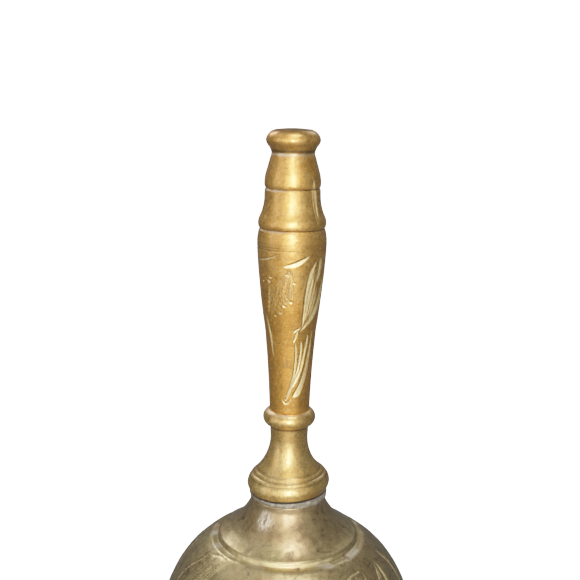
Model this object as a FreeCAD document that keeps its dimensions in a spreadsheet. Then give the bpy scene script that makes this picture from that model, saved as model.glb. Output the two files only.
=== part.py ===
"""Brass puja bell: a cast bell cup under a turned two-piece handle, with a clapper on a ring link.

The frame is millimetres, +Z up, with the origin at the centre of the mouth's resting plane.
The handle's grip and foot, the bell cup and a nut and washer are clamped together by one eye bolt,
whose eye carries a ring link, which carries the clapper. Every round piece is turned about the Z axis.
"""

import FreeCAD
import Part
import math
import os

import Sketcher

doc = FreeCAD.newDocument("puja_bell")
SHEET = "Sizes"
sheet = doc.addObject("Spreadsheet::Sheet", SHEET)

# Driving dimensions in millimetres. Names that end in _rise are heights above the handle's seat.
DIMENSIONS = {
    # bell cup
    "seat_height": 72.0,
    "filler_gap": 0.4,
    "skirt_clearance": 0.02,
    "skirt_thickness": 0.28,
    "skirt_tip": 1.2,
    "skirt_end": 1.6,
    "neck_radius": 10.0,
    "neck_root_height": 69.8,
    "boss_hollow_arc": 18.0,
    "boss_radius": 18.55,
    "boss_height": 60.8,
    "step_radius": 18.75,
    "step_height": 59.6,
    "dome_start_radius": 20.4,
    "dome_start_height": 59.35,
    "dome_arc": 29.0,
    "shoulder_radius": 34.2,
    "shoulder_height": 34.0,
    "waist_arc": 52.9,
    "mouth_radius": 45.0,
    "lip_height": 2.4,
    "lip_arc": 1.8,
    "rest_outer_radius": 44.1,
    "rest_inner_radius": 42.7,
    "lip_inner_radius": 42.0,
    "lip_chamfer": 0.6,
    "inner_waist_arc": 64.4,
    "inner_shoulder_radius": 32.0,
    "inner_dome_arc": 27.4,
    "inner_dome_radius": 17.2,
    "inner_dome_height": 58.51,
    "inner_neck_radius": 7.0,
    "inner_neck_height": 65.8,
    "ceiling_height": 68.0,
    "ceiling_corner": 1.0,
    # eye bolt, nut and washer
    "bolt_radius": 2.0,
    "thread_clearance": 0.05,
    "bolt_hole_radius": 2.3,
    "bolt_top_rise": 38.0,
    "bolt_tip": 0.8,
    "washer_radius": 5.5,
    "washer_thickness": 1.2,
    "nut_circumradius": 4.04,
    "nut_thickness": 3.6,
    "nut_chamfer": 0.45,
    "bolt_end_below_nut": 1.4,
    "eye_ring_radius": 3.4,
    "eye_wire_radius": 1.5,
    # ring link and clapper
    "link_wire_radius": 1.0,
    "link_ring_radius": 4.35,
    "link_slit": 0.3,
    "link_clearance": 0.15,
    "clapper_wire_radius": 1.4,
    "clapper_eye_radius": 3.3,
    "ball_radius": 9.0,
    "ball_centre_height": 12.5,
    "ball_collar_radius": 3.2,
    "ball_collar_height": 2.2,
    "ball_flat_radius": 2.8,
    "rivet_radius": 2.3,
    "rivet_height": 0.9,
    "bore_top_rise": 40.0,
}

# Stations of the turned handle from its foot to its top: name, radius, rise above the seat, and the arc
# radius of the span up to the next station. A positive arc swells outwards, a negative one hollows
# inwards, and 0 is straight.
FOOT = (
    ("foot_edge", 10.45, 1.3, 5.0),
    ("foot_rim", 10.95, 3.2, 4.3),
    ("foot_slope", 9.35, 6.2, -12.4),
    ("foot_waist", 4.92, 15.8, 0),
    ("ring_root", 5.15, 19.1, 2.3),
    ("ring_top", 5.25, 23.5, 0),
)
GRIP = (
    ("heel", 5.25, 23.5, -290.0),
    ("shank", 6.65, 45.5, 245.0),
    ("belly", 8.85, 67.0, 14.0),
    ("belly_edge", 8.42, 71.0, 0),
    ("lower_notch", 8.15, 71.3, 0),
    ("lower_flare_edge", 8.45, 71.7, 2.4),
    ("lower_flare", 8.62, 72.7, 3.2),
    ("lower_flare_turn", 8.3, 74.1, -12.3),
    ("middle", 7.05, 79.5, 0),
    ("middle_edge", 7.0, 81.0, 0),
    ("upper_notch", 6.72, 81.3, 0),
    ("upper_flare_edge", 6.95, 81.65, 2.4),
    ("upper_flare", 7.1, 82.6, 10.9),
    ("upper_flare_turn", 6.5, 86.0, 0),
    ("throat", 5.4, 89.8, 0),
    ("pommel_root", 5.42, 90.2, -4.2),
    ("pommel_under", 6.3, 91.95, 2.4),
    ("pommel_side", 6.8, 93.2, 2.95),
    ("pommel_edge", 3.9, 95.75, 33.0),
    ("pommel_crown", 0.9, 96.0, 0),
)


class Size:
    """A length with the expression, over the spreadsheet's cells, that gives it."""

    def __init__(self, value, text):
        self.value = value
        self.text = text

    def combine(self, other, symbol, value):
        text = other.text if isinstance(other, Size) else repr(other)
        return Size(value, f"({self.text} {symbol} {text})")

    def __add__(self, other):
        return self.combine(other, "+", self.value + number(other))

    def __sub__(self, other):
        return self.combine(other, "-", self.value - number(other))

    def __mul__(self, other):
        return self.combine(other, "*", self.value * number(other))


def number(size):
    return size.value if isinstance(size, Size) else float(size)


def fill_sheet():
    """Writes every driving dimension to its own aliased cell."""
    rows = dict(DIMENSIONS)
    for name, radius, rise, arc in FOOT + GRIP:
        rows[f"{name}_radius"] = radius
        rows[f"{name}_rise"] = rise
        if arc:
            rows[f"{name}_arc"] = abs(arc)
    for row, (alias, value) in enumerate(rows.items(), start=1):
        sheet.set(f"A{row}", alias)
        sheet.set(f"B{row}", str(value))
        sheet.setAlias(f"B{row}", alias)
    doc.recompute()
    return {alias: Size(float(value), f"{SHEET}.{alias}") for alias, value in rows.items()}


S = fill_sheet()


def bind(obj, prop, size):
    """Binds a property to its expression."""
    obj.setExpression(prop, size.text)


def plane(body, role):
    return next(f for f in body.Origin.OriginFeatures if f.Role == role)


def arc_middle(start, end, radius, swell):
    """The middle of an arc from start to end, which lies right of the way there if swell is 1."""
    chord = end - start
    half = chord.Length / 2
    sagitta = radius - math.sqrt(radius * radius - half * half)
    side = FreeCAD.Vector(chord.y, -chord.x, 0).normalize()
    return (start + end) * 0.5 + side * (sagitta * swell)


def place_point(sketch, geometry, position, x, z):
    """Holds one sketch point at x and z, each a Size, or 0 for a point on that axis."""
    for kind, size, axis in (("DistanceX", x, -2), ("DistanceY", z, -1)):
        if number(size) == 0:
            sketch.addConstraint(Sketcher.Constraint("PointOnObject", geometry, position, axis))
            continue
        index = sketch.addConstraint(
            Sketcher.Constraint(kind, -1, 1, geometry, position, number(size))
        )
        name = f"{kind[-1].lower()}_{geometry}"
        sketch.renameConstraint(index, name)
        bind(sketch, f"Constraints.{name}", size)


def turned(label, outline):
    """A body of revolution about Z. outline is a closed list of (radius, height, arc to the next point)
    that runs up the outside, where a positive arc swells away from the solid."""
    body = doc.addObject("PartDesign::Body", label)
    body.Label = label
    sketch = body.newObject("Sketcher::SketchObject", f"{label}_outline")
    sketch.AttachmentSupport = [(plane(body, "XZ_Plane"), "")]
    sketch.MapMode = "FlatFace"
    points = [FreeCAD.Vector(number(x), number(z), 0) for x, z, _ in outline]
    first, last = [], []
    for i, (x, z, arc) in enumerate(outline):
        start, end = points[i], points[(i + 1) % len(points)]
        if arc is None:
            sketch.addGeometry(Part.LineSegment(start, end))
        else:
            size, swell = arc
            middle = arc_middle(start, end, number(size), swell)
            sketch.addGeometry(Part.Arc(start, middle, end))
        forward = (sketch.getPoint(i, 1) - start).Length < 1e-6
        first.append(1 if forward else 2)
        last.append(2 if forward else 1)
    for i in range(len(outline)):
        after = (i + 1) % len(outline)
        sketch.addConstraint(Sketcher.Constraint("Coincident", i, last[i], after, first[after]))
    for i, (x, z, arc) in enumerate(outline):
        place_point(sketch, i, first[i], x, z)
        if arc is not None:
            index = sketch.addConstraint(Sketcher.Constraint("Radius", i, number(arc[0])))
            sketch.renameConstraint(index, f"arc_{i}")
            bind(sketch, f"Constraints.arc_{i}", arc[0])
    turn = body.newObject("PartDesign::Revolution", f"{label}_turning")
    turn.Profile = sketch
    turn.ReferenceAxis = (sketch, ["V_Axis"])
    turn.Angle = 360
    body.Tip = turn
    return body


def stations(table):
    """Outline points of a handle table, lifted to the seat height."""
    points = []
    for name, _, _, arc in table:
        span = (S[f"{name}_arc"], 1 if arc > 0 else -1) if arc else None
        points.append((S[f"{name}_radius"], S["seat_height"] + S[f"{name}_rise"], span))
    return points


def bell_cup():
    """The cast bell: a neck, a hollowed boss with a step round it, a dome, a waist and a flared lip."""
    hole = S["bolt_hole_radius"]
    outline = [
        (S["rest_inner_radius"], 0, None),
        (S["rest_outer_radius"], 0, (S["lip_arc"], 1)),
        (S["mouth_radius"], S["lip_height"], (S["waist_arc"], -1)),
        (S["shoulder_radius"], S["shoulder_height"], (S["dome_arc"], 1)),
        (S["dome_start_radius"], S["dome_start_height"], None),
        (S["step_radius"], S["step_height"], None),
        (S["boss_radius"], S["boss_height"], (S["boss_hollow_arc"], -1)),
        (S["neck_radius"], S["neck_root_height"], None),
        (S["neck_radius"], S["seat_height"] - S["filler_gap"], None),
        (hole, S["seat_height"] - S["filler_gap"], None),
        (hole, S["ceiling_height"], None),
        (S["inner_neck_radius"] - S["ceiling_corner"], S["ceiling_height"], (S["ceiling_corner"], -1)),
        (S["inner_neck_radius"], S["ceiling_height"] - S["ceiling_corner"], None),
        (S["inner_neck_radius"], S["inner_neck_height"], None),
        (S["inner_dome_radius"], S["inner_dome_height"], (S["inner_dome_arc"], -1)),
        (S["inner_shoulder_radius"], S["shoulder_height"], (S["inner_waist_arc"], 1)),
        (S["lip_inner_radius"], S["lip_chamfer"], None),
    ]
    return turned("bell_cup", outline)


def handle_foot():
    """The flared foot with its ring, bored through for the eye bolt."""
    outline = stations(FOOT)
    bore = S["bolt_hole_radius"]
    top = S["seat_height"] + S["ring_top_rise"]
    bottom = S["seat_height"] + S["foot_edge_rise"]
    return turned("handle_foot", outline + [(bore, top, None), (bore, bottom, None)])


def handle_grip():
    """The grip with two flared steps and a pommel, and a blind bore that holds the eye bolt's thread."""
    outline = stations(GRIP)
    bore = S["bolt_radius"] + S["thread_clearance"]
    depth = S["seat_height"] + S["bore_top_rise"]
    heel = S["seat_height"] + S["heel_rise"]
    crown = S["seat_height"] + S["pommel_crown_rise"]
    core = [(0, crown, None), (0, depth, None), (bore, depth, None), (bore, heel, None)]
    return turned("handle_grip", outline + core)


def joint_filler():
    """Soft grey solder that fills the seam under the foot and stands as a thin skirt round the neck."""
    seat = S["seat_height"]
    neck_top = seat - S["filler_gap"]
    foot_bottom = seat + S["foot_edge_rise"]
    skirt_inside = S["neck_radius"] + S["skirt_clearance"]
    skirt_outside = skirt_inside + S["skirt_thickness"]
    outline = [
        (S["foot_waist_radius"], neck_top, None),
        (skirt_inside, neck_top, None),
        (skirt_inside, seat - S["skirt_end"], None),
        (skirt_outside, seat - S["skirt_tip"], None),
        (skirt_outside, neck_top, None),
        (S["foot_edge_radius"], foot_bottom, None),
        (S["foot_waist_radius"], foot_bottom, None),
    ]
    return turned("joint_filler", outline)


def tube(label, radius, bottom, height):
    """A plain cylinder on the Z axis from the height called bottom."""
    rod = doc.addObject("Part::Cylinder", label)
    bind(rod, "Radius", radius)
    bind(rod, "Height", height)
    bind(rod, "Placement.Base.z", bottom)
    return rod


def wire_ring(label, ring, wire, centre, facing):
    """A ring of round wire that stands upright. Its hole faces along the axis called facing."""
    torus = doc.addObject("Part::Torus", label)
    bind(torus, "Radius1", ring)
    bind(torus, "Radius2", wire)
    turn_axis = {"x": FreeCAD.Vector(0, 1, 0), "y": FreeCAD.Vector(1, 0, 0)}[facing]
    torus.Placement = FreeCAD.Placement(FreeCAD.Vector(), FreeCAD.Rotation(turn_axis, 90))
    bind(torus, "Placement.Base.z", centre)
    return torus


def joined(label, kind, base, tool):
    """A named Part::Fuse, Part::Cut or Part::Common of two objects."""
    result = doc.addObject(f"Part::{kind}", label)
    result.Base = base
    result.Tool = tool
    result.Label = label
    return result


def chamfered(label, base, size):
    """base with every full circular edge chamfered."""
    doc.recompute()
    edges = [
        (i, size.value, size.value)
        for i, edge in enumerate(base.Shape.Edges, start=1)
        if isinstance(edge.Curve, Part.Circle)
    ]
    cut = doc.addObject("Part::Chamfer", label)
    cut.Base = base
    cut.Edges = edges
    return cut


# Heights down the clamp and the clapper's chain.
nut_top = S["ceiling_height"] - S["washer_thickness"]
nut_bottom = nut_top - S["nut_thickness"]
eye_top = nut_bottom - S["bolt_end_below_nut"]
eye_centre = eye_top - S["eye_ring_radius"] - S["eye_wire_radius"]
link_pivot = eye_centre - S["eye_ring_radius"]
link_lift = S["eye_wire_radius"] + S["link_wire_radius"] + S["link_clearance"]
link_centre = link_pivot + link_lift - S["link_ring_radius"]
clapper_pivot = link_centre - S["link_ring_radius"]
clapper_lift = S["link_wire_radius"] + S["clapper_wire_radius"] + S["link_clearance"]
clapper_eye_centre = clapper_pivot + clapper_lift - S["clapper_eye_radius"]


def eye_bolt():
    """A steel bolt whose threaded shank holds grip, foot and cup together, with a round eye below."""
    top = S["seat_height"] + S["bolt_top_rise"]
    shank = tube("bolt_shank", S["bolt_radius"], eye_top - S["eye_wire_radius"],
                 top - eye_top + S["eye_wire_radius"])
    ring = wire_ring("bolt_ring", S["eye_ring_radius"], S["eye_wire_radius"], eye_centre, "y")
    tipped = chamfered("bolt_tip", shank, S["bolt_tip"])
    return joined("eye_bolt", "Fuse", tipped, ring)


def crown_washer():
    disc = tube("washer_disc", S["washer_radius"], nut_top, S["washer_thickness"])
    hole = tube("washer_hole", S["bolt_hole_radius"], nut_top, S["washer_thickness"])
    return joined("crown_washer", "Cut", disc, hole)


def crown_nut():
    """A hexagon nut: a prism with its corners chamfered by a cone-ended blank, and a bore."""
    prism = doc.addObject("Part::Prism", "nut_prism")
    prism.Polygon = 6
    bind(prism, "Circumradius", S["nut_circumradius"])
    bind(prism, "Height", S["nut_thickness"])
    bind(prism, "Placement.Base.z", nut_bottom)
    blank = tube("nut_blank", S["nut_circumradius"], nut_bottom, S["nut_thickness"])
    corners = joined("nut_corners", "Common", prism, chamfered("nut_chamfers", blank, S["nut_chamfer"]))
    bore = tube("nut_bore", S["bolt_radius"] + S["thread_clearance"], nut_bottom, S["nut_thickness"])
    return joined("crown_nut", "Cut", corners, bore)


def clapper_link():
    """A closed ring of iron wire with the butt joint of its two ends at one side."""
    ring = wire_ring("link_wire", S["link_ring_radius"], S["link_wire_radius"], link_centre, "x")
    slit = doc.addObject("Part::Box", "link_slit_tool")
    bind(slit, "Length", S["link_wire_radius"] * 3)
    bind(slit, "Width", S["link_wire_radius"] * 3)
    bind(slit, "Height", S["link_slit"])
    bind(slit, "Placement.Base.x", S["link_wire_radius"] * -1.5)
    bind(slit, "Placement.Base.y", S["link_ring_radius"] - S["link_wire_radius"] * 1.5)
    bind(slit, "Placement.Base.z", link_centre - S["link_slit"] * 0.5)
    return joined("clapper_link", "Cut", ring, slit)


def ball_height(radius_name, sign):
    """The height on the ball's surface, above or below its centre, where its radius is the named one."""
    ball, small = S["ball_radius"], S[radius_name]
    rise = math.sqrt(ball.value**2 - small.value**2)
    text = f"sqrt({ball.text}^2 - {small.text}^2)"
    return S["ball_centre_height"] + Size(rise, text) * sign


def clapper_rod():
    """An iron rod with an eye at its top and a riveted head under the ball."""
    eye = wire_ring("clapper_eye", S["clapper_eye_radius"], S["clapper_wire_radius"],
                    clapper_eye_centre, "y")
    flat = ball_height("ball_flat_radius", -1)
    foot = flat - S["rivet_height"]
    top = clapper_eye_centre - S["clapper_eye_radius"]
    rod = tube("clapper_wire", S["clapper_wire_radius"], foot, top - foot)
    head = tube("rivet_head", S["rivet_radius"], foot, S["rivet_height"])
    shaft = joined("clapper_shaft", "Fuse", rod, head)
    return joined("clapper_rod", "Fuse", eye, shaft)


def clapper_ball():
    """A turned brass ball with a short collar on top and a flat under it, driven onto the rod."""
    bore = S["clapper_wire_radius"]
    centre = S["ball_centre_height"]
    flat, root = ball_height("ball_flat_radius", -1), ball_height("ball_collar_radius", 1)
    top = centre + S["ball_radius"] + S["ball_collar_height"]
    outline = [
        (bore, flat, None),
        (S["ball_flat_radius"], flat, (S["ball_radius"], 1)),
        (S["ball_radius"], centre, (S["ball_radius"], 1)),
        (S["ball_collar_radius"], root, None),
        (S["ball_collar_radius"] - S["ball_collar_height"] * 0.2, top, None),
        (bore, top, None),
    ]
    return turned("clapper_ball", outline)


PIECES = (
    bell_cup,
    handle_foot,
    handle_grip,
    joint_filler,
    eye_bolt,
    crown_washer,
    crown_nut,
    clapper_link,
    clapper_rod,
    clapper_ball,
)


def main():
    made = [piece() for piece in PIECES]
    doc.recompute()
    for obj in doc.Objects:
        if "Invalid" in obj.State or "Error" in obj.State:
            raise RuntimeError(f"{obj.Label} failed to build: {obj.State}")
    os.makedirs("parts", exist_ok=True)
    for obj in made:
        if obj.Shape.isNull() or not obj.Shape.isValid():
            raise RuntimeError(f"{obj.Label} has no valid shape")
        obj.Shape.exportStep(f"parts/{obj.Label}.step")
        print(obj.Label, len(obj.Shape.Solids), "solid", round(obj.Shape.Volume, 1), "mm3")
    print("link pivot", round(link_pivot.value, 3), "clapper pivot", round(clapper_pivot.value, 3))


main()
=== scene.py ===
import math

import bpy
import numpy as np
from mathutils import Matrix, Vector


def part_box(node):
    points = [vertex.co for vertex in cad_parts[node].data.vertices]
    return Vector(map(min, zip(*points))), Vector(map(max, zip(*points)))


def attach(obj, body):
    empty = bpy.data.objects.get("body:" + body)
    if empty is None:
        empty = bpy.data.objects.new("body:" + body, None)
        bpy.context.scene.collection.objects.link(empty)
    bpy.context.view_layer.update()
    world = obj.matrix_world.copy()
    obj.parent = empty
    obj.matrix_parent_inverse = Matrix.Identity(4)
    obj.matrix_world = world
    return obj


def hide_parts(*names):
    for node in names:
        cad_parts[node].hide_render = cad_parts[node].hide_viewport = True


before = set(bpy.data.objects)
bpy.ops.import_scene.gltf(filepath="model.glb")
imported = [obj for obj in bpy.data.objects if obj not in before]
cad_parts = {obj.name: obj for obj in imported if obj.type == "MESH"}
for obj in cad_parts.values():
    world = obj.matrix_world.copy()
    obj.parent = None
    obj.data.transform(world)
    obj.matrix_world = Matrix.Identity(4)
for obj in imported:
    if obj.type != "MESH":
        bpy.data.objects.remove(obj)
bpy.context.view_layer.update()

# The looks of the brass puja bell. Lengths in the shape code are millimetres, turned to metres by MM,
# and azimuths are degrees from the side that faces the camera towards +X.
# SEAT is the level that the handle's heights count from, HANDLE below the top of the pommel. The cup's
# heights count from its mouth.
MM = 0.001
HANDLE = 96.0
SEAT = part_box("handle_grip")[1].z / MM - HANDLE
NECK_TOP = 71.6
NECK_RADIUS = 10.0
CEILING = 68.0
FOOT_BOTTOM = 1.3
BOLT_HOLE = 2.3


# ---------------------------------------------------------------- outlines

def span(start, end, arc, step):
    """Points from start up to, but not including, end. arc is the radius of a swelling (+) or hollow (-)
    stretch, or 0 for a straight one. The number of points is even."""
    (r0, z0), (r1, z1) = start, end
    length = math.hypot(r1 - r0, z1 - z0)
    count = 2 * max(1, round(length / (2 * step)))
    along = np.arange(count) / count
    if not arc:
        return np.stack([r0 + (r1 - r0) * along, z0 + (z1 - z0) * along], 1)
    out_r, out_z = (z1 - z0) / length, (r0 - r1) / length
    reach = math.copysign(math.sqrt(arc * arc - length * length / 4), arc)
    centre = ((r0 + r1) / 2 - out_r * reach, (z0 + z1) / 2 - out_z * reach)
    first = math.atan2(z0 - centre[1], r0 - centre[0])
    turn = math.atan2(z1 - centre[1], r1 - centre[0]) - first
    turn = (turn + math.pi) % (2 * math.pi) - math.pi
    angle = first + turn * along
    return np.stack([centre[0] + abs(arc) * np.cos(angle), centre[1] + abs(arc) * np.sin(angle)], 1)


def outline(stations, closed=False):
    """Points of a turned outline. Each station is radius, height, arc to the next one, and step."""
    pairs = list(zip(stations, stations[1:]))
    if closed:
        pairs.append((stations[-1], stations[0]))
    rows = [span(a[:2], b[:2], a[2], a[3]) for a, b in pairs]
    if not closed:
        rows.append(np.array([stations[-1][:2]]))
    return np.concatenate(rows)


def lifted(stations):
    """Stations given above the handle's seat, in the frame's heights."""
    return [(r, z + SEAT, arc, step) for r, z, arc, step in stations]


# ---------------------------------------------------------------- turned meshes

class Skin:
    """The points of a turned surface: azimuth (radians), outline position, and what shapes them."""

    def __init__(self, azimuth, radius, height, run, normal):
        self.azimuth = azimuth
        self.radius = radius
        self.height = height
        self.run = run
        self.normal = normal
        self.lift = np.zeros_like(radius)
        self.drop = np.zeros_like(radius)
        self.marks = {}

    @property
    def degrees(self):
        return (np.degrees(self.azimuth) + 180) % 360 - 180

    def mark(self, name, value):
        old = self.marks.get(name, 0)
        self.marks[name] = np.maximum(old, value)


def outline_frame(points, closed):
    """The run along an outline and its outward normals."""
    ahead = np.roll(points, -1, 0) - points
    behind = points - np.roll(points, 1, 0)
    if not closed:
        ahead[-1], behind[0] = behind[-1], ahead[0]
    run = np.concatenate([[0], np.cumsum(np.linalg.norm(ahead[:-1], axis=1))])
    tangent = ahead / np.maximum(np.linalg.norm(ahead, axis=1), 1e-9)[:, None]
    tangent += behind / np.maximum(np.linalg.norm(behind, axis=1), 1e-9)[:, None]
    tangent /= np.maximum(np.linalg.norm(tangent, axis=1), 1e-9)[:, None]
    return run, np.stack([tangent[:, 1], -tangent[:, 0]], 1)


def turned(name, points, columns, shape, fine=None, closed=False):
    """A turned mesh. Every second point and column makes a coarse face, and the faces where the function
    fine says so are split in four. shape(skin) sets the lift, the drop and the marks."""
    run, normal = outline_frame(points, closed)
    rows = len(points)
    bands = rows // 2 if closed else (rows - 1) // 2
    spokes = 2 * columns
    azimuth = np.arange(spokes) * 2 * math.pi / spokes
    used = np.zeros((rows, spokes), bool)
    used[::2, ::2] = True
    split = np.zeros((bands, columns), bool)
    if fine is not None:
        middle = 2 * np.arange(bands) + 1
        grid_a, grid_z = np.meshgrid(np.degrees(azimuth[1::2]), points[middle, 1])
        split = fine((grid_a + 180) % 360 - 180, grid_z, np.broadcast_to(points[middle, :1], grid_z.shape))
    for i, j in zip(*np.nonzero(split)):
        for di in range(3):
            used[(2 * i + di) % rows, [2 * j, 2 * j + 1, (2 * j + 2) % spokes]] = True
    number = np.full(used.shape, -1)
    number[used] = np.arange(used.sum())
    i, j = np.nonzero(used)
    skin = Skin(azimuth[j], points[i, 0], points[i, 1], run[i], normal[i])
    shape(skin)
    faces = []
    for b in range(bands):
        low, mid, high = 2 * b, 2 * b + 1, (2 * b + 2) % rows
        for c in range(columns):
            left, half, right = 2 * c, 2 * c + 1, (2 * c + 2) % spokes
            if split[b, c]:
                for y0, y1 in ((low, mid), (mid, high)):
                    for x0, x1 in ((left, half), (half, right)):
                        faces.append((number[y0, x0], number[y0, x1], number[y1, x1], number[y1, x0]))
                continue
            loop = ((low, left), (low, half), (low, right), (mid, right),
                    (high, right), (high, half), (high, left), (mid, left))
            faces.append([number[y, x] for y, x in loop if used[y, x]])
    if not closed:
        faces.append([n for n in number[0] if n >= 0][::-1])
        faces.append([n for n in number[rows - 1] if n >= 0])
    radius = np.maximum(skin.radius + skin.lift * skin.normal[:, 0], 0.02)
    height = skin.height + skin.lift * skin.normal[:, 1] + skin.drop
    places = np.stack([radius * np.sin(skin.azimuth), -radius * np.cos(skin.azimuth), height], 1) * MM
    return finished_mesh(name, places, faces, skin.marks)


def finished_mesh(name, places, faces, marks=None):
    """A smooth-shaded object from points in metres, with a point attribute for each mark."""
    mesh = bpy.data.meshes.new(name)
    mesh.from_pydata(places.tolist(), [], [[int(n) for n in face] for face in faces])
    for mark, values in (marks or {}).items():
        layer = mesh.attributes.new(mark, "FLOAT", "POINT")
        layer.data.foreach_set("value", np.asarray(values, np.float32))
    mesh.polygons.foreach_set("use_smooth", [True] * len(mesh.polygons))
    mesh.validate()
    mesh.update()
    piece = bpy.data.objects.new(name, mesh)
    bpy.context.scene.collection.objects.link(piece)
    return piece


# ---------------------------------------------------------------- hand work on the metal

def wave(skin, seed, size):
    """Smooth noise between -1 and 1 over a turned surface, with features about size millimetres wide."""
    draw = np.random.default_rng(seed)
    x = skin.radius * np.sin(skin.azimuth)
    y = -skin.radius * np.cos(skin.azimuth)
    total = np.zeros_like(x)
    for _ in range(9):
        way = draw.normal(size=3)
        way *= 2 * math.pi / size / np.linalg.norm(way) * draw.uniform(0.6, 1.6)
        total += np.sin(x * way[0] + y * way[1] + skin.height * way[2] + draw.uniform(0, 6.3))
    return total / 5


def smooth(low, high, value):
    t = np.clip((value - low) / (high - low), 0, 1)
    return t * t * (3 - 2 * t)


class Cut:
    """One chisel cut along a curve through (azimuth, height) points. It has a steep wall on the left of the
    way along it, or on the right if steep is -1, darkened with painted shade, and a bright facet that rises
    on the other side, whose colour, scaled by gleam, is partly fresh-cut metal and partly a painted
    highlight."""

    def __init__(self, points, width=0.8, depth=0.3, steep=1, tip="leaf", gleam=1.0):
        self.width, self.depth, self.steep, self.tip, self.gleam = width, depth, steep, tip, gleam
        self.points = self.through(np.array(points, float))

    def through(self, knots):
        if len(knots) == 2:
            return knots
        padded = np.concatenate([[2 * knots[0] - knots[1]], knots, [2 * knots[-1] - knots[-2]]])
        parts = []
        for a, b, c, d in zip(padded, padded[1:], padded[2:], padded[3:]):
            t = np.linspace(0, 1, 5)[:-1, None]
            parts.append(0.5 * (2 * b + (c - a) * t + (2 * a - 5 * b + 4 * c - d) * t**2
                                + (3 * b - a - 3 * c + d) * t**3))
        return np.concatenate(parts + [knots[-1:]])

    def fullness(self, u):
        """The share of the full width at each place from the start, 0, to the end, 1."""
        if self.tip == "tail":
            return np.minimum(1, u * 8) ** 0.5 * (1 - u * 0.9) ** 0.8
        if self.tip == "head":
            return (0.12 + 0.88 * u) * np.minimum(1, (1 - u) * 14) ** 0.5
        if self.tip == "even":
            return np.minimum(1, u * 10) ** 0.5 * np.minimum(1, (1 - u) * 10) ** 0.5
        return np.sin(math.pi * np.clip(u, 0.02, 0.98)) ** 0.7

    def near(self, azimuth, height, radius, margin):
        """Which points lie in the box round this cut."""
        middle = self.points[:, 0].mean()
        off = (azimuth - middle + 180) % 360 - 180
        reach = np.degrees((self.width + margin) / np.maximum(radius, 1))
        low, high = self.points.min(0), self.points.max(0)
        return ((off > low[0] - middle - reach) & (off < high[0] - middle + reach)
                & (height > low[1] - self.width - margin) & (height < high[1] + self.width + margin))

    def carve(self, skin, run_at):
        """Lowers the skin along the cut, marks its facet, partly a painted highlight, and paints shade on
        its steep wall.
        """
        inside = np.nonzero(self.near(skin.degrees, skin.height, skin.radius, 0.5))[0]
        if not len(inside):
            return
        middle = self.points[:, 0].mean()
        radius = skin.radius[inside]
        off = (skin.degrees[inside] - middle + 180) % 360 - 180
        here = np.stack([np.radians(off) * radius, skin.run[inside]], 1)
        best = np.full(len(inside), 1e9)
        side, along = np.zeros(len(inside)), np.zeros(len(inside))
        lengths = np.concatenate([[0], np.cumsum(np.linalg.norm(np.diff(
            np.stack([np.radians(self.points[:, 0]) * radius.mean(), run_at(self.points[:, 1])], 1),
            axis=0), axis=1))])
        for k in range(len(self.points) - 1):
            (a0, z0), (a1, z1) = self.points[k], self.points[k + 1]
            start = np.stack([np.radians(a0 - middle) * radius, np.full(len(inside), run_at(z0))], 1)
            way = np.stack([np.radians(a1 - a0) * radius, np.full(len(inside), run_at(z1) - run_at(z0))], 1)
            size = np.maximum((way**2).sum(1), 1e-9)
            t = np.clip(((here - start) * way).sum(1) / size, 0, 1)
            gap = here - start - way * t[:, None]
            dist = np.linalg.norm(gap, axis=1)
            closer = dist < best
            best = np.where(closer, dist, best)
            turn = way[:, 1] * gap[:, 0] - way[:, 0] * gap[:, 1]
            side = np.where(closer, np.sign(turn), side)
            u = (lengths[k] + (lengths[k + 1] - lengths[k]) * t) / lengths[-1]
            along = np.where(closer, u, along)
        full = self.fullness(along)
        t = best * side * self.steep / np.maximum(self.width * full, 1e-3)
        depth = self.depth * full**0.6
        wall = 0.22
        facet = np.clip(1 - t, 0, 1) * (t >= 0)
        steep = np.clip(1 + t / wall, 0, 1) * (t < 0)
        burr = np.clip(1 - abs(t + 0.42) / 0.24, 0, 1) + 0.7 * np.clip(1 - abs(t - 1.12) / 0.2, 0, 1)
        bend = depth * (0.14 * burr - facet - steep)
        old = skin.lift[inside]
        skin.lift[inside] = np.where(facet + steep > 0, np.minimum(old, bend), old + bend)
        marks = np.zeros((2, len(skin.lift)))
        # The facet mark is partly fresh-cut metal colour and partly a painted highlight; the steep wall gets
        # painted shade.
        marks[0, inside] = (t > 0.02) * (t < 1.02) * (full > 0.1) * self.gleam * (1 - 0.35 * t**2)
        marks[1, inside] = steep * (0.7 + 0.3 * self.gleam)
        skin.mark("facet", marks[0])
        skin.mark("shade", marks[1])


def run_finder(points):
    """A function that gives the run along an outline's outer side at a height."""
    run, normal = outline_frame(points, False)
    outer = normal[:, 0] > -0.2
    order = np.argsort(points[outer, 1])
    return lambda height: np.interp(height, points[outer, 1][order], run[outer][order])


def mirrored_copies(cuts, turn):
    """The cuts and a copy of them turned round the axis."""
    copies = [Cut(c.points + [turn, 0], c.width, c.depth, c.steep, c.tip, c.gleam) for c in cuts]
    return cuts + copies


def hollow(skin, azimuth, height, size, depth, mark="shade", amount=1.0):
    """A pit in the skin, with a mark in it, which is painted shade unless another mark is given."""
    off = np.radians((skin.degrees - azimuth + 180) % 360 - 180) * skin.radius
    away = np.hypot(off, skin.height - height) / size
    dip = np.clip(1 - away**2, 0, 1) ** 1.5
    skin.lift -= depth * dip
    skin.mark(mark, amount * smooth(0.1, 0.8, dip))


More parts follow.
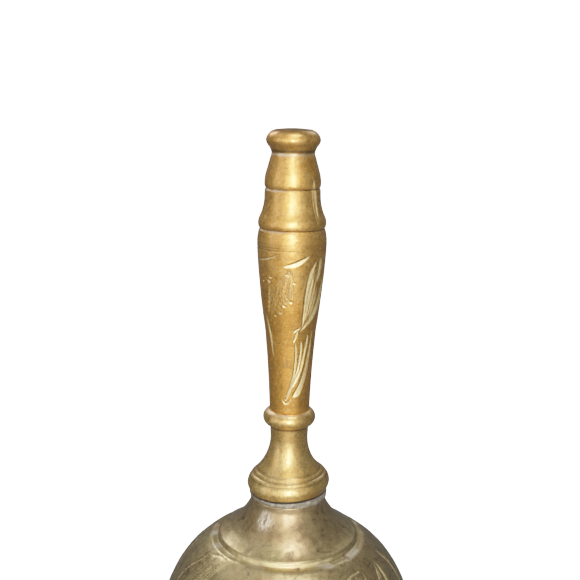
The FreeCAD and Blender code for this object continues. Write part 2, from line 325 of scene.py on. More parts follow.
def hatch(start_row, end_row, count, seed, width=0.42, depth=0.13, steep=1, bow=0.0, gleam=0.6):
    """Close strokes from points along start_row to points along end_row, each a pair of ends."""
    draw = np.random.default_rng(seed)
    strokes = []
    for t in (np.arange(count) + 0.5) / count:
        jitter = draw.uniform(-0.6, 0.6, 4)
        a = np.array(start_row[0]) * (1 - t) + np.array(start_row[1]) * t + jitter[:2]
        b = np.array(end_row[0]) * (1 - t) + np.array(end_row[1]) * t + jitter[2:]
        middle = (a + b) / 2 + [bow, 0]
        wide, bright = width * draw.uniform(0.7, 1.2), gleam * draw.uniform(0.5, 1.4)
        strokes.append(Cut([a, middle, b], wide, depth, steep, "even", min(1.0, bright)))
    return strokes


# ---------------------------------------------------------------- the handle

def placed(points, turn, up):
    """(azimuth, height) points turned round the axis and moved up."""
    return [(azimuth + turn, height + up) for azimuth, height in points]


def above(points):
    """(azimuth, height above the seat) points in the frame's heights."""
    return placed(points, 0, SEAT)


def grip_cuts():
    """The chased spray on the grip: a fan, a broad leaf, a long plume and single strokes."""
    cuts = [
        Cut(above([(-14, 62.8), (8, 64.0), (30, 65.5)]), 1.05, 0.34),
        Cut(above([(-72, 63.6), (-48, 64.5), (-26, 65.4)]), 0.45, 0.2),
        Cut(above([(-76, 66.0), (-48, 66.6), (-24, 64.6)]), 0.3, 0.1, -1, "leaf", 0.15),
        Cut(above([(-41, 58.4), (-46, 54.4), (-50, 50.2)]), 0.6, 0.22, -1),
        Cut(above([(45, 63.8), (34, 61.2), (29, 57.6), (26, 52.4), (24, 47.4)]), 1.6, 0.4, -1),
        Cut(above([(56, 64.8), (53, 61.8), (49, 58.4)]), 1.0, 0.3, -1),
        Cut(above([(69, 59.6), (60, 53.8), (45, 50.0), (20, 46.0)]), 1.4, 0.4, -1),
        Cut(above([(22, 47.0), (13, 46.6), (4, 45.6)]), 0.5, 0.2, -1),
        Cut(above([(16, 46.6), (10, 44.6), (5, 42.9)]), 0.5, 0.2, -1),
        Cut(above([(54, 45.6), (49, 40.6), (40, 35.4), (26, 31.6), (7, 28.3)]), 1.5, 0.36, -1, "head"),
        Cut(above([(41, 44.8), (34, 40.3), (23, 35.1), (0, 30.4)]), 0.62, 0.26, -1, "even"),
        Cut(above([(24, 43.4), (23, 39.7), (17, 35.6), (3, 31.4), (-10, 27.4)]), 0.5, 0.2, -1, "even"),
        Cut(above([(10, 43.0), (11, 38.4), (8, 34.4), (-5, 29.8), (-12, 27.2)]), 0.5, 0.16, -1, "even"),
        Cut(above([(-22, 27.7), (-9, 26.6), (5, 27.9)]), 0.4, 0.2),
        Cut(above([(-60, 50.6), (-53, 47.3), (-46, 43.6), (-44, 38.6)]), 0.6, 0.2, 1),
        Cut(above([(44, 84.5), (47, 81.6), (51, 79.1), (52, 74.0)]), 0.85, 0.26, -1),
        Cut(above([(39, 83.2), (43, 79.0), (46, 72.8)]), 0.45, 0.2, -1, "even", 0.05),
    ]
    cuts += [
        Cut(above([(-5, 62.4), (-10, 59.6), (-18, 56.4), (-29, 54.0), (-38, 50.6)]), 0.45, 0.16, -1,
            "even", 0.35),
        Cut(above([(-3, 62.1), (-7, 59.0), (-13, 55.6), (-22, 52.6), (-28, 50.4)]), 0.4, 0.14, -1,
            "even", 0.3),
        Cut(above([(-1, 61.9), (-2, 58.8), (-6, 55.4), (-11, 52.9)]), 0.45, 0.16, -1, "even", 0.4),
        Cut(above([(0, 61.8), (3, 58.6), (3, 54.4)]), 0.45, 0.16, 1, "even", 0.5),
        Cut(above([(-12, 61.0), (-21, 58.2), (-33, 55.2), (-42, 51.8)]), 0.4, 0.13, -1, "even", 0.3),
        Cut(above([(-18, 59.8), (-31, 57.4), (-43, 53.8)]), 0.35, 0.12, -1, "even", 0.3),
    ]
    cuts += hatch(above([(-36, 56.8), (-6, 58.6)]), above([(-43, 49.8), (-5, 53.4)]), count=9, seed=5,
                  width=0.34, depth=0.12, steep=-1, bow=-3.0, gleam=0.22)
    cuts += [
        Cut(above([(43, 61.4), (35, 56.8), (31, 52.6), (29, 48.6)]), 0.75, 0.26, -1, "leaf", 0.9),
        Cut(above([(48, 60.6), (42, 55.8), (36, 51.6), (32, 48.8)]), 0.6, 0.24, -1, "leaf", 0.8),
        Cut(above([(52, 58.0), (47, 54.2), (41, 51.0), (36, 49.0)]), 0.6, 0.22, -1, "leaf", 0.9),
    ]
    nicks = [(-38, 60.1), (-41, 58.7), (-56, 60.4), (-57, 58.5), (-7, 54.6), (0, 53.8), (-12, 52.6),
             (-20, 51.2), (-31, 49.9), (4, 58.6), (52, 67.3), (-7, 60.7), (51, 58.6)]
    draw = np.random.default_rng(9)
    for azimuth, height in nicks:
        half, slope = draw.uniform(2.0, 4.5), draw.uniform(-0.5, 0.5)
        ends = above([(azimuth - half, height + slope), (azimuth + half, height)])
        cuts.append(Cut(ends, draw.uniform(0.35, 0.6), 0.24, 1, "leaf", draw.uniform(0.5, 1.0)))
    return mirrored_copies(cuts, 180)


def near_cuts(cuts):
    """A test for the faces that a cut comes near."""
    def test(azimuth, height, radius):
        hit = np.zeros(height.shape, bool)
        for cut in cuts:
            hit |= cut.near(azimuth, height, radius, 0.35)
        return hit
    return test


def grip():
    """The turned grip with its pommel, two flared steps, wear-softened ripples and the chased spray."""
    points = outline(lifted([
        (0.1, 40.0, 0, 0.6),
        (2.05, 40.0, 0, 0.8),
        (2.05, 23.5, 0, 0.5),
        (5.25, 23.5, -290.0, 0.2),
        (6.65, 45.5, 245.0, 0.2),
        (8.85, 67.0, 14.0, 0.17),
        (8.42, 71.0, 0, 0.06),
        (8.15, 71.3, 0, 0.08),
        (8.45, 71.7, 2.4, 0.12),
        (8.62, 72.7, 3.2, 0.17),
        (8.3, 74.1, -12.3, 0.2),
        (7.05, 79.5, 0, 0.18),
        (7.0, 81.0, 0, 0.06),
        (6.72, 81.3, 0, 0.08),
        (6.95, 81.65, 2.4, 0.12),
        (7.1, 82.6, 10.9, 0.2),
        (6.5, 86.0, 0, 0.2),
        (5.4, 89.8, 0, 0.08),
        (5.42, 90.2, -4.2, 0.12),
        (6.3, 91.95, 2.4, 0.12),
        (6.8, 93.2, 2.95, 0.14),
        (3.9, 95.75, 33.0, 0.2),
        (0.9, 96.0, 0, 0.2),
        (0.1, 95.85, 0, 0.1),
    ]))
    cuts = grip_cuts()
    run_at = run_finder(points)

    def shape(skin):
        rise = skin.height - SEAT
        outside = skin.radius > 3
        skin.mark("facet", np.zeros_like(rise))
        skin.mark("shade", np.zeros_like(rise))
        for cut in cuts:
            cut.carve(skin, run_at)
        skin.lift += 0.035 * wave(skin, 3, 9.0) * outside + 0.012 * wave(skin, 4, 2.2) * outside
        # Worn ripple grooves, with painted shade in them.
        for height in (67.9, 67.2, 66.6, 25.3):
            ring = np.exp(-(((rise - height) / 0.16) ** 2)) * (0.6 + 0.4 * wave(skin, 8, 14.0))
            skin.lift -= 0.09 * ring * outside
            skin.mark("shade", 0.6 * ring * outside)
        grime = np.zeros_like(rise)
        for height, reach, amount, least in ((89.75, 0.32, 1.0, 0.5), (81.15, 0.25, 0.8, 0.0),
                                             (71.15, 0.22, 0.6, 0.0)):
            lean = least + (1 - least) * smooth(0.1, 0.8, np.cos(np.radians(skin.degrees + 75)))
            band = np.exp(-(((rise - height) / reach) ** 2)) * amount * lean
            grime = np.maximum(grime, band * (0.75 + 0.5 * wave(skin, 12, 3.0)))
        skin.mark("grime", np.clip(grime, 0, 1))
        left = smooth(0.3, 0.95, np.cos(np.radians(skin.degrees + 50)))
        warmth = 0.75 * smooth(62, 50, rise) + 0.5 * left + 0.25 * wave(skin, 14, 7.0)
        skin.mark("warmth", np.clip(warmth, 0, 1))
        # Painted shade in the notches under the pommel and below the two flared steps.
        for height, reach, amount in ((90.5, 0.5, 0.9), (81.32, 0.16, 0.8), (71.45, 0.16, 0.9)):
            skin.mark("shade", amount * np.exp(-(((rise - height) / reach) ** 2)) * outside)
        # Painted shade darkens the top of the pommel.
        skin.mark("shade", 0.45 * smooth(94.2, 95.4, rise))
        skin.lift -= 0.12 * np.exp(-((skin.radius / 0.9) ** 2)) * (rise > 90)

    return turned("grip", points, 150, shape, near_cuts(cuts))


def foot_lean(skin):
    """The foot sits a little askew on the neck, so its rim drops on the left of the front."""
    rise = skin.height - SEAT
    return 0.045 * skin.radius * np.sin(skin.azimuth) * (1 - smooth(3.0, 12.0, rise))


def foot():
    """The turned foot with its ring, three turned lines on its shoulder, and painted shade along its bottom
    edge.
    """
    points = outline(lifted([
        (BOLT_HOLE, 23.5, 0, 0.8),
        (BOLT_HOLE, FOOT_BOTTOM, 0, 0.6),
        (9.95, FOOT_BOTTOM, 0.6, 0.1),
        (10.5, 1.8, 5.0, 0.15),
        (10.95, 3.2, 4.3, 0.16),
        (9.35, 6.2, -12.4, 0.2),
        (4.92, 15.8, 0, 0.2),
        (5.05, 18.8, -0.5, 0.08),
        (5.25, 19.15, 2.25, 0.14),
        (5.6, 23.35, 0, 0.1),
        (5.32, 23.5, 0, 0.3),
    ]), closed=True)

    def shape(skin):
        rise = skin.height - SEAT
        outside = skin.radius > 4
        skin.mark("facet", np.zeros_like(rise))
        # Turned lines with painted shade in them.
        for height, depth in ((5.2, 0.1), (6.15, 0.22), (7.15, 0.18), (19.25, 0.08)):
            line = np.exp(-(((rise - height) / 0.17) ** 2)) * outside
            skin.lift -= depth * line
            skin.mark("shade", 0.75 * line)
        skin.lift += 0.03 * wave(skin, 21, 8.0) * outside + 0.012 * wave(skin, 22, 2.0) * outside
        # Painted shade along the bottom edge and under the ring.
        skin.mark("shade", (1 - smooth(1.45, 1.9, rise)) * outside)
        skin.mark("shade", 0.9 * np.exp(-(((rise - 19.0) / 0.3) ** 2)) * outside)
        skin.mark("warmth", 0.8 * smooth(8.0, 16.0, rise) * (0.7 + 0.3 * wave(skin, 24, 6.0)))
        left = 0.5 + 0.5 * np.cos(np.radians(skin.degrees + 60))
        spot = np.exp(-(((rise - 23.2) / 0.25) ** 2)) * left * outside
        skin.mark("grime", np.clip(0.5 * spot * (1 + wave(skin, 25, 2.0)), 0, 1))
        hollow(skin, 58, SEAT + 22.9, 0.35, 0.12, "facet")
        skin.drop += foot_lean(skin)

    return turned("foot", points, 150, shape, closed=True)


# ---------------------------------------------------------------- the bell

def leaf_spray(azimuth, height):
    """A hatched fan on the dome with a long leaf beside it."""
    fan = hatch(placed([(-11, -7.5), (3, -8.5)], azimuth, height),
                placed([(-4, 1.0), (16, 2.0)], azimuth, height),
                count=11, seed=int(azimuth) % 97, width=0.6, depth=0.18)
    leaf = [
        Cut(placed([(-14, -9.5), (-13, -3.5), (-4, 1.6)], azimuth, height), 0.7, 0.22),
        Cut(placed([(-4, 1.6), (7, 2.6), (17, 2.2)], azimuth, height), 0.5, 0.18),
    ]
    return fan + leaf


def band_leaf(azimuth, low, high, lean):
    """A pointed leaf on the waist: two bowed sides, a vein and a row of short strokes on each half."""
    def across(along, share):
        """A place on the leaf, from its root to its tip and from its vein to one side."""
        bow = 6.0 * math.sin(math.pi * along) * share
        return (azimuth + lean * along**1.5 + bow, low + (high - low) * along)

    steps = (0.0, 0.2, 0.4, 0.6, 0.8, 1.0)
    leaf = [Cut([across(t, -1) for t in steps], 0.85, 0.26, 1, "even"),
            Cut([across(t, 1) for t in steps], 0.85, 0.26, -1, "even"),
            Cut([(azimuth, low - 2)] + [across(t, 0) for t in (0.3, 0.6, 0.85)], 0.5, 0.18, 1, "tail")]
    for t in (0.2, 0.33, 0.46, 0.59, 0.72):
        leaf.append(Cut([across(t, -0.1), across(t + 0.12, -0.75)], 0.45, 0.15, 1, "leaf", 0.7))
        leaf.append(Cut([across(t, 0.1), across(t + 0.12, 0.75)], 0.45, 0.15, -1, "leaf", 0.7))
    return leaf


def vine(azimuth, height, reach):
    """One wave of the thin stem that the leaves of the waist grow from."""
    rise = [0.0, 2.2, 0.0, -2.2, 0.0]
    turns = [azimuth + reach * k / 4 for k in range(5)]
    return Cut([(turn, height + up) for turn, up in zip(turns, rise)], 0.5, 0.2, 1, "even", 0.7)


def bell_cuts():
    """The chased work on the bell: sprays on the dome, and a vine with leaves round the waist."""
    long_leaves = (
        ([(69, -15.6), (68, -18.5), (66, -22.5)], 0.9, 0.3, -1),
        ([(69, -15.6), (63, -18.5), (60, -22.0)], 0.7, 0.2, 1),
        ([(81, -14.8), (83, -19.5), (80, -26.0)], 0.9, 0.3, -1),
        ([(84, -15.4), (87, -20.0), (85, -26.5)], 0.7, 0.25, 1),
    )
    cuts = []
    for start in (0, 180):
        cuts += leaf_spray(start - 62, SEAT - 15.5)
        cuts += leaf_spray(start + 38, SEAT - 17.5)
        for points, width, depth, steep in long_leaves:
            cuts.append(Cut(placed(points, start, SEAT), width, depth, steep))
        cuts += hatch(placed([(67, -17), (65, -21.5)], start, SEAT),
                      placed([(64, -18), (61, -22)], start, SEAT),
                      count=6, seed=40 + start, width=0.5, depth=0.15)
    leaves, leaf_root, leaf_tip, lean, vine_height = 10, 18.5, 29.8, 9, 17.0
    for k in range(leaves):
        azimuth = 360 * (k + 0.35) / leaves
        cuts += band_leaf(azimuth, leaf_root, leaf_tip, lean if k % 2 else -lean)
        cuts.append(vine(azimuth, vine_height, 360 / leaves))
    return cuts


# Turned lines round the cup: height, depth and width.
BELL_LINES = ((62.9, 0.05, 0.22), (33.0, 0.28, 0.3), (31.6, 0.2, 0.22), (12.4, 0.28, 0.3), (11.0, 0.2, 0.22),
              (6.0, 0.22, 0.25), (4.6, 0.18, 0.22), (2.9, 0.2, 0.2))

# Casting pits on the boss: azimuth, height from the seat, size and depth.
BOSS_PITS = ((-72, -6.3, 0.45, 0.35), (51, -12.6, 0.4, 0.3), (9, -12.4, 0.4, 0.15))


def bell_grime(skin, outside):
    """Dried polish: a crust of flecks left of the front, the groove under the step, and the seam."""
    z = skin.height
    crust_side = np.hypot((skin.degrees + 33) / 14, (z - SEAT + 4.0) / 2.7)
    flecks = 0.55 * wave(skin, 41, 0.9) + 0.55 * wave(skin, 42, 0.45)
    crust = smooth(1.25, 0.3, crust_side) * smooth(-0.3, 0.05, flecks)
    skin.lift += 0.18 * crust
    groove = np.exp(-(((z - 59.45) / 0.3) ** 2)) * outside
    patches = smooth(-0.2, 0.8, wave(skin, 43, 6.0))
    seam = smooth(-1.7, -0.5, z - SEAT + 0.3 * wave(skin, 47, 2.0)) * outside
    grime = np.maximum(crust, np.maximum(groove * patches * 0.6, seam * 0.5))
    skin.mark("grime", np.clip(grime, 0, 1))


def bell_highlights(skin, outside):
    """Painted highlights: a bright spot on the left of the boss, and the step's face painted bright at the
    front and back.
    """
    z = skin.height
    left_highlight = np.hypot((skin.degrees + 46) / 20, (z - SEAT + 12.5) / 4.5)
    streaks = np.clip(0.8 + 0.5 * wave(skin, 46, 2.5), 0, 1)
    # Painted highlight on the left of the boss.
    skin.mark("facet", 0.45 * smooth(1.0, 0.3, left_highlight) * streaks)
    # Painted highlight on the step's face, strongest at the front and back.
    step_highlight = np.exp(-(((z - 60.2) / 0.5) ** 4)) * outside * (skin.radius < 19)
    front_and_back = smooth(0.35, 0.85, abs(np.cos(skin.azimuth))) * (0.8 + 0.4 * wave(skin, 44, 5.0))
    skin.mark("facet", step_highlight * np.clip(front_and_back, 0, 1))


def bell():
    """The cast bell, with turned lines at the step, round the waist and at the lip."""
    points = outline([
        (42.7, 0.0, 0, 0.35),
        (44.1, 0.0, 1.8, 0.2),
        (45.0, 2.4, -52.9, 0.4),
        (34.2, 34.0, 29.0, 0.4),
        (20.4, 59.35, 0, 0.2),
        (18.75, 59.6, 0, 0.15),
        (18.55, 60.8, -18.0, 0.3),
        (NECK_RADIUS, 69.8, 0, 0.2),
        (NECK_RADIUS, NECK_TOP, 0, 0.5),
        (BOLT_HOLE, NECK_TOP, 0, 0.8),
        (BOLT_HOLE, CEILING, 0, 0.8),
        (6.0, CEILING, -1.0, 0.3),
        (7.0, 67.0, 0, 0.5),
        (7.0, 65.8, 0, 0.8),
        (17.2, 58.51, -27.4, 1.0),
        (32.0, 34.0, 64.4, 1.2),
        (42.0, 0.6, 0, 0.3),
    ], closed=True)
    cuts = bell_cuts()
    run_at = run_finder(points)

    def shape(skin):
        z = skin.height
        outside = smooth(-0.3, 0.1, skin.normal[:, 0] + 0.5 * (skin.normal[:, 1] > 0.2)) * (z < 71)
        skin.mark("facet", np.zeros_like(z))
        skin.mark("shade", np.zeros_like(z))
        for cut in cuts:
            cut.carve(skin, run_at)
        skin.lift *= outside
        # Turned lines with painted shade in them.
        for height, depth, size in BELL_LINES:
            line = np.exp(-(((z - height) / size) ** 2)) * outside
            skin.lift -= depth * line
            skin.mark("shade", 0.7 * line * min(1, depth * 5))
        uneven = 0.05 * wave(skin, 31, 14.0) + 0.02 * wave(skin, 32, 3.5)
        skin.lift += uneven * (outside + 0.6) * smooth(0.4, 2.0, z)
        # Pits and a dent with painted shade in them.
        for azimuth, rise, size, depth in BOSS_PITS:
            hollow(skin, azimuth, SEAT + rise, size, depth)
        hollow(skin, -35, SEAT - 10.4, 1.2, 0.12, "shade", 0.2)
        draw = np.random.default_rng(77)
        for _ in range(26):
            hollow(skin, draw.uniform(-180, 180), draw.uniform(4, 66), draw.uniform(0.15, 0.3), 0.12)
        bell_grime(skin, outside)
        neck = 0.45 * smooth(61.5, 66.0, z)
        skin.mark("warmth", np.clip(0.35 + neck + 0.4 * wave(skin, 45, 16.0), 0, 0.9))
        bell_highlights(skin, outside)

    return turned("bell", points, 300, shape, near_cuts(cuts), closed=True)


def filler():
    """The lumpy skirt of grey solder and dried polish under the foot, thicker on the right."""
    points = outline([
        (9.0, SEAT + FOOT_BOTTOM, 0, 0.3),
        (9.0, SEAT - 2.6, 0, 0.3),
        (10.02, SEAT - 2.6, 0, 0.12),
        (10.15, SEAT + 0.6, 0, 0.12),
        (10.02, SEAT + 0.95, 0, 0.12),
        (9.7, SEAT + 1.05, 0, 0.12),
        (9.7, SEAT + FOOT_BOTTOM, 0, 0.3),
    ], closed=True)

    def shape(skin):
        rise = skin.height - SEAT
        outer = skin.radius > 9.8
        low = -0.45 - 0.25 * np.sin(skin.azimuth)
        fade = smooth(-0.35, 0.35, rise - low + 0.3 * wave(skin, 52, 3.0))
        lump = 0.08 + 0.1 * wave(skin, 51, 1.6) + 0.06 * wave(skin, 53, 0.7)
        skin.lift += (lump + 0.42 * fade - 0.4) * outer
        skin.drop += foot_lean(skin) * (rise > 0.5)
        # Painted shade along the top, under the foot.
        skin.mark("shade", smooth(0.7, 1.0, rise))

    return turned("filler", points, 260, shape, closed=True)


# ---------------------------------------------------------------- materials

class Paint:
    """Builds one material's nodes. Every method returns an output socket."""

    def __init__(self, name):
        self.material = bpy.data.materials.new(name)
        self.material.use_nodes = True
        self.tree = self.material.node_tree
        self.shader = self.tree.nodes["Principled BSDF"]
        place = self.tree.nodes.new("ShaderNodeTexCoord").outputs["Object"]
        self.place = self.scaled(place, (1 / MM, 1 / MM, 1 / MM))

    def node(self, kind, inputs, **settings):
        made = self.tree.nodes.new(kind)
        for key, value in settings.items():
            setattr(made, key, value)
        for key, value in inputs.items():
            if isinstance(value, bpy.types.NodeSocket):
                self.tree.links.new(value, made.inputs[key])
            else:
                made.inputs[key].default_value = value
        return made

    def scaled(self, vector, scale):
        return self.node("ShaderNodeMapping", {"Vector": vector, "Scale": scale}).outputs["Vector"]

    def noise(self, scale, detail=3.0, stretch=None, distortion=0.0, roughness=0.55):
        vector = self.scaled(self.place, stretch) if stretch else self.place
        made = self.node("ShaderNodeTexNoise", {"Vector": vector, "Scale": scale, "Detail": detail,
                                                "Distortion": distortion, "Roughness": roughness})
        return made.outputs["Fac"]

    def mark(self, name):
        return self.node("ShaderNodeAttribute", {}, attribute_name=name).outputs["Fac"]

    def math(self, operation, a, b=0.0, c=0.0, clamp=False):
        made = self.node("ShaderNodeMath", {0: a, 1: b, 2: c}, operation=operation, use_clamp=clamp)
        return made.outputs[0]

    def band(self, value, low, high, out_low=0.0, out_high=1.0):
        made = self.node("ShaderNodeMapRange", {"Value": value, "From Min": low, "From Max": high,
                                                "To Min": out_low, "To Max": out_high},
                         interpolation_type="SMOOTHSTEP")
        return made.outputs["Result"]

    def mix(self, share, a, b, kind="MIX"):
        made = self.node("ShaderNodeMix", {}, data_type="RGBA", blend_type=kind)
        for index, value in ((0, share), (6, a), (7, b)):
            if isinstance(value, bpy.types.NodeSocket):
                self.tree.links.new(value, made.inputs[index])
            else:
                made.inputs[index].default_value = value if index == 0 else (*value, 1.0)
        return made.outputs[2]

    def bump(self, height, strength, distance, under=None):
        inputs = {"Height": height, "Strength": strength, "Distance": distance * MM}
        if under is not None:
            inputs["Normal"] = under
        return self.node("ShaderNodeBump", inputs).outputs["Normal"]

    def set(self, **inputs):
        for key, value in inputs.items():
            socket = self.shader.inputs[key.replace("_", " ")]
            if isinstance(value, bpy.types.NodeSocket):
                self.tree.links.new(value, socket)
            else:
                socket.default_value = value


# The colour of fresh-cut facets, which is partly a painted highlight, and of the painted highlights on the
# bell.
CUT_AND_HIGHLIGHT_BRASS = (0.88, 0.70, 0.33)
POLISH_DUST = (0.64, 0.60, 0.50)


def darker(colour, share):
    return tuple(c * share for c in colour)


def old_brass(name, main, warm, dark, roughness, dirt=1.0, sparkle=1.0, turned_lines=0.25):
    """Tarnished, handled brass with its main colour, warmer patches, dark stains, painted glints, painted
    shade where the shade mark says, and marks for cuts whose bright facets are partly painted highlight.
    """
    p = Paint(name)
    patches = p.band(p.noise(0.16, 3.0, distortion=0.6), 0.38, 0.66)
    patches = p.math("MAXIMUM", p.math("MULTIPLY", patches, 0.8), p.mark("warmth"))
    colour = p.mix(patches, main, warm)
    mottle = p.band(p.noise(0.8, 5.0, roughness=0.75), 0.42, 0.62)
    colour = p.mix(p.math("MULTIPLY", mottle, 0.55), colour, darker(warm, 0.74))
    stains = p.band(p.noise(0.42, 4.0, distortion=1.2), 0.62 - 0.06 * dirt, 0.78 - 0.04 * dirt)
    colour = p.mix(p.math("MULTIPLY", stains, 0.45 * dirt), colour, dark)
    specks = p.band(p.noise(2.0, 2.0), 0.54, 0.68)
    colour = p.mix(p.math("MULTIPLY", specks, 0.7 * sparkle), colour, darker(warm, 0.55))
    # Painted glints: small spots of a lighter colour scattered over the metal.
    glints = p.band(p.noise(2.2, 2.0, stretch=(1.0, 1.0, 1.15)), 0.54, 0.68)
    glint_colour = tuple(min(1.0, c * 1.25) for c in main)
    colour = p.mix(p.math("MULTIPLY", glints, 0.55 * sparkle), colour, glint_colour)
    facet, shade, grime = p.mark("facet"), p.mark("shade"), p.mark("grime")
    facet_and_highlight = p.math("MULTIPLY", facet, p.band(p.noise(1.4, 3.0), 0.2, 0.6, 0.6, 0.95))
    # Cut facets take a fresh-metal colour that is partly a painted highlight; the bell's boss spot and step
    # face are painted highlights only.
    colour = p.mix(facet_and_highlight, colour, CUT_AND_HIGHLIGHT_BRASS)
    # Painted shade from the shade mark: cut walls, turned lines, pits, notches, the pommel's top and the
    # foot's bottom edge.
    colour = p.mix(p.math("MULTIPLY", shade, 0.8), colour, darker(dark, 0.3))
    dust = p.math("MULTIPLY", grime, p.band(p.noise(2.2, 4.0), 0.3, 0.6, 0.35, 1.0), clamp=True)
    colour = p.mix(dust, colour, POLISH_DUST)
    rough = p.band(p.noise(0.7, 4.0), 0.3, 0.7, roughness - 0.07, roughness + 0.1)
    rough = p.math("ADD", rough, p.math("MULTIPLY", dust, 0.35))
    rough = p.math("SUBTRACT", rough, p.math("MULTIPLY", facet_and_highlight, 0.04))
    metal = p.band(p.math("MAXIMUM", dust, p.math("MULTIPLY", facet_and_highlight, 0.6)), 0.0, 1.0, 0.85, 0.1)
    turning = p.noise(1.0, 3.0, stretch=(0.25, 0.25, 6.0))
    grain = p.noise(2.6, 4.0, roughness=0.6)
    normal = p.bump(turning, turned_lines, 0.03)
    normal = p.bump(grain, 0.45, 0.035, normal)
    p.set(Base_Color=colour, Metallic=metal, Roughness=rough, Normal=normal,
          Coat_Weight=0.6, Coat_IOR=1.6, Coat_Roughness=0.25)
    return p.material


def solder():
    """Dull grey solder with chalky polish in its creases."""
    p = Paint("solder_grey")
    chalk = p.band(p.noise(1.1, 5.0, roughness=0.7), 0.45, 0.72)
    colour = p.mix(chalk, (0.30, 0.26, 0.19), (0.58, 0.53, 0.44))
    stain = p.band(p.noise(0.6, 3.0, distortion=1.0), 0.55, 0.72)
    colour = p.mix(stain, colour, (0.20, 0.15, 0.10))
    # Painted shade where the shade mark says, along the top under the foot.
    colour = p.mix(p.math("MULTIPLY", p.mark("shade"), 0.9), colour, (0.03, 0.02, 0.015))
    rough = p.band(chalk, 0.0, 1.0, 0.5, 0.85)
    metal = p.band(chalk, 0.0, 1.0, 0.35, 0.05)
    normal = p.bump(p.noise(2.4, 5.0), 0.7, 0.08)
    p.set(Base_Color=colour, Metallic=metal, Roughness=rough, Normal=normal)
    return p.material


def iron(name, bright, rust, roughness):
    """Dull iron or steel with rust that gathers in patches."""
    p = Paint(name)
    rusty = p.band(p.noise(0.5, 5.0, distortion=0.8, roughness=0.65), 0.46, 0.66)
    colour = p.mix(rusty, bright, rust)
    specks = p.band(p.noise(3.0, 3.0), 0.55, 0.75)
    colour = p.mix(p.math("MULTIPLY", specks, 0.5), colour, darker(rust, 0.4))
    rough = p.band(rusty, 0.0, 1.0, roughness, 0.85)
    metal = p.band(rusty, 0.0, 1.0, 1.0, 0.25)
    normal = p.bump(p.noise(2.0, 5.0), 0.5, 0.08)
    p.set(Base_Color=colour, Metallic=metal, Roughness=rough, Normal=normal)
    return p.material


def wear(piece, material):
    piece.data.materials.clear()
    piece.data.materials.append(material)


# ---------------------------------------------------------------- the stage

# The light that the floor and backdrop give off, which shows as white.
PAPER = 2.3
OBJECT_MIDDLE = (0.0, 0.0, 0.11)


def camera():
    """The camera at the photograph's viewing angle: close, a little above, and tipped down."""
    left, distance, height = -0.3, 231.7, SEAT + 107.0
    pitch, roll = 12.6, 0.85
    lens = bpy.data.cameras.new("camera")
    lens.sensor_width = 36.0
    lens.lens = 57.7
    lens.clip_start = 0.01
    viewer = bpy.data.objects.new("camera", lens)
    turn = Matrix.Rotation(math.radians(90 - pitch), 4, "X") @ Matrix.Rotation(math.radians(roll), 4, "Z")
    viewer.matrix_world = Matrix.Translation(Vector((left, -distance, height)) * MM) @ turn
    bpy.context.scene.collection.objects.link(viewer)
    bpy.context.scene.camera = viewer


def lamp(name, place, size, power, colour=(1.0, 1.0, 1.0), aim=(0.0, 0.0, 0.1)):
    """A soft rectangular light at place, size across, that faces aim. Places are in metres."""
    light = bpy.data.lights.new(name, "AREA")
    light.shape = "RECTANGLE"
    light.size, light.size_y = size
    light.energy = power
    light.color = colour
    holder = bpy.data.objects.new(name, light)
    holder.location = place
    way = Vector(aim) - Vector(place)
    holder.rotation_euler = way.to_track_quat("-Z", "Y").to_euler()
    holder.visible_camera = False
    bpy.context.scene.collection.objects.link(holder)


def stage_surface(name, vertices, faces):
    """A pale sheet that gives off its own light and stays out of the object's reflections."""
    mesh = bpy.data.meshes.new(name)
    mesh.from_pydata(vertices, [], faces)
    item = bpy.data.objects.new(name, mesh)
    bpy.context.scene.collection.objects.link(item)
    material = bpy.data.materials.new(name)
    material.use_nodes = True
    shader = material.node_tree.nodes["Principled BSDF"]
    shader.inputs["Base Color"].default_value = (0.9, 0.9, 0.9, 1.0)
    shader.inputs["Roughness"].default_value = 0.9
    shader.inputs["Specular IOR Level"].default_value = 0.0
    shader.inputs["Emission Color"].default_value = (1.0, 1.0, 1.0, 1.0)
    shader.inputs["Emission Strength"].default_value = PAPER
    mesh.materials.append(material)
    item.visible_glossy = False
    item.visible_diffuse = False
    item.visible_shadow = False
    return item


def shade_near_object(floor):
    """Dims the floor's own light near the object, a painted soft shadow round it, so that the lamps' soft
    shadow there shows too.
    """
    tree = floor.data.materials[0].node_tree
    place = tree.nodes.new("ShaderNodeTexCoord")
    away = tree.nodes.new("ShaderNodeVectorMath")
    away.operation = "LENGTH"
    ramp = tree.nodes.new("ShaderNodeMapRange")
    ramp.interpolation_type = "SMOOTHSTEP"
    for name, value in (("From Min", 0.045), ("From Max", 0.105), ("To Min", 0.9), ("To Max", PAPER)):
        ramp.inputs[name].default_value = value
    tree.links.new(place.outputs["Object"], away.inputs[0])
    tree.links.new(away.outputs["Value"], ramp.inputs["Value"])
    tree.links.new(ramp.outputs["Result"], tree.nodes["Principled BSDF"].inputs["Emission Strength"])


def soft_highlights():
    """A plain view whose bright end rolls off gently up to PAPER, which shows as white."""
    view = bpy.context.scene.view_settings
    view.view_transform = "Standard"
    view.look = "None"
    view.use_curve_mapping = True
    curves = view.curve_mapping
    curves.white_level = (PAPER, PAPER, PAPER)
    curve = curves.curves[3]
    for light, shown in ((0.4, 0.42), (0.8, 0.69), (1.2, 0.84), (1.7, 0.94)):
        curve.points.new(light / PAPER, shown)
    curves.update()


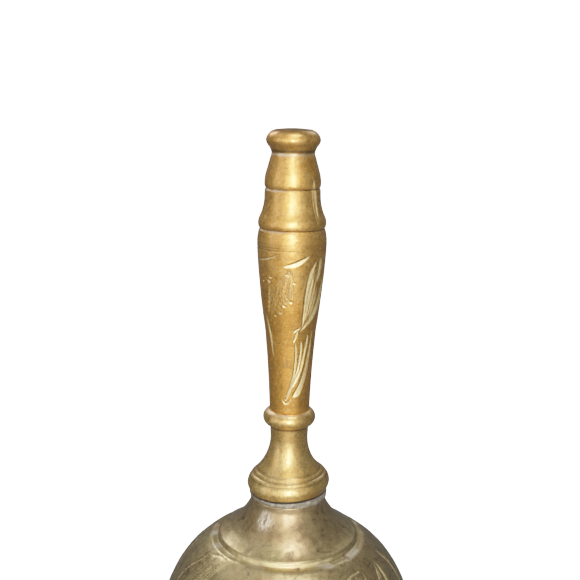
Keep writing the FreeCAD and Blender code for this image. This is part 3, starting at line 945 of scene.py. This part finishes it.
def studio():
    """A pale floor that runs into a pale backdrop all round, and soft lights."""
    reach, rise, sides = 2.5, 3.0, 64
    ring = [(reach * math.cos(2 * math.pi * k / sides), reach * math.sin(2 * math.pi * k / sides))
            for k in range(sides)]
    floor = stage_surface("floor", [(x, y, 0.0) for x, y in ring], [list(range(sides))])
    shade_near_object(floor)
    wall = [(x, y, z) for z in (-0.001, rise) for x, y in ring]
    faces = [(k, (k + 1) % sides, sides + (k + 1) % sides, sides + k) for k in range(sides)]
    faces.append([sides + k for k in range(sides)])
    stage_surface("backdrop", wall, faces)
    world = bpy.data.worlds.new("studio")
    world.use_nodes = True
    sky = world.node_tree.nodes["Background"]
    sky.inputs["Color"].default_value = (0.80, 0.84, 0.90, 1.0)
    sky.inputs["Strength"].default_value = 0.13
    bpy.context.scene.world = world
    lamp("front_box", (-0.06, -0.80, 0.22), (1.0, 0.85), 4.3, aim=OBJECT_MIDDLE)
    lamp("front_flash", (0.0, -0.45, 0.22), (0.06, 0.28), 1.1, aim=OBJECT_MIDDLE)
    lamp("table_glow", (0.0, -0.45, -0.22), (0.8, 0.3), 0.35, (1.0, 0.9, 0.75), aim=OBJECT_MIDDLE)
    lamp("left_box", (-0.72, -0.36, 0.25), (0.4, 0.7), 1.1)
    lamp("right_box", (0.60, -0.60, 0.25), (0.10, 0.7), 0.25)
    lamp("front_high_box", (0.07, -0.30, 0.85), (0.34, 0.28), 2.5)
    lamp("high_box", (-0.50, -0.05, 0.80), (0.45, 0.45), 0.45)
    lamp("back_left_box", (-0.55, 0.65, 0.75), (0.4, 0.4), 1.8)
    lamp("back_right_box", (0.45, 0.75, 0.85), (0.4, 0.4), 1.0)
    soft_highlights()


# ---------------------------------------------------------------- making it

camera()

GRIP_BRASS = old_brass("grip_brass", (0.83, 0.495, 0.145), (0.76, 0.36, 0.06), (0.24, 0.14, 0.05), 0.42)
FOOT_BRASS = old_brass("foot_brass", (0.80, 0.55, 0.20), (0.70, 0.40, 0.10), (0.22, 0.15, 0.06), 0.39)
BELL_BRASS = old_brass("bell_brass", (0.53, 0.445, 0.20), (0.46, 0.30, 0.14), (0.12, 0.09, 0.045), 0.38,
                       dirt=1.5, sparkle=0.5, turned_lines=0.5)
BALL_BRASS = old_brass("ball_brass", (0.50, 0.40, 0.20), (0.46, 0.32, 0.14), (0.18, 0.13, 0.06), 0.40)

new_pieces = (
    (grip(), "bell", "handle_grip", "grip_brass", GRIP_BRASS),
    (foot(), "bell", "handle_foot", "foot_brass", FOOT_BRASS),
    (bell(), "bell", "bell_cup", "bell_brass", BELL_BRASS),
    (filler(), "bell", "joint_filler", "solder", solder()),
)
for piece, body, node, slot, material in new_pieces:
    wear(piece, material)
    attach(piece, body)
    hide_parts(node)

STEEL = iron("dull_steel", (0.45, 0.43, 0.40), (0.20, 0.09, 0.04), 0.35)
IRON = iron("dark_iron", (0.22, 0.20, 0.19), (0.16, 0.07, 0.03), 0.5)
for node, material in (("eye_bolt", STEEL), ("crown_washer", STEEL), ("crown_nut", STEEL),
                       ("clapper_link", IRON), ("clapper_rod", IRON), ("clapper_ball", BALL_BRASS)):
    wear(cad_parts[node], material)

studio()
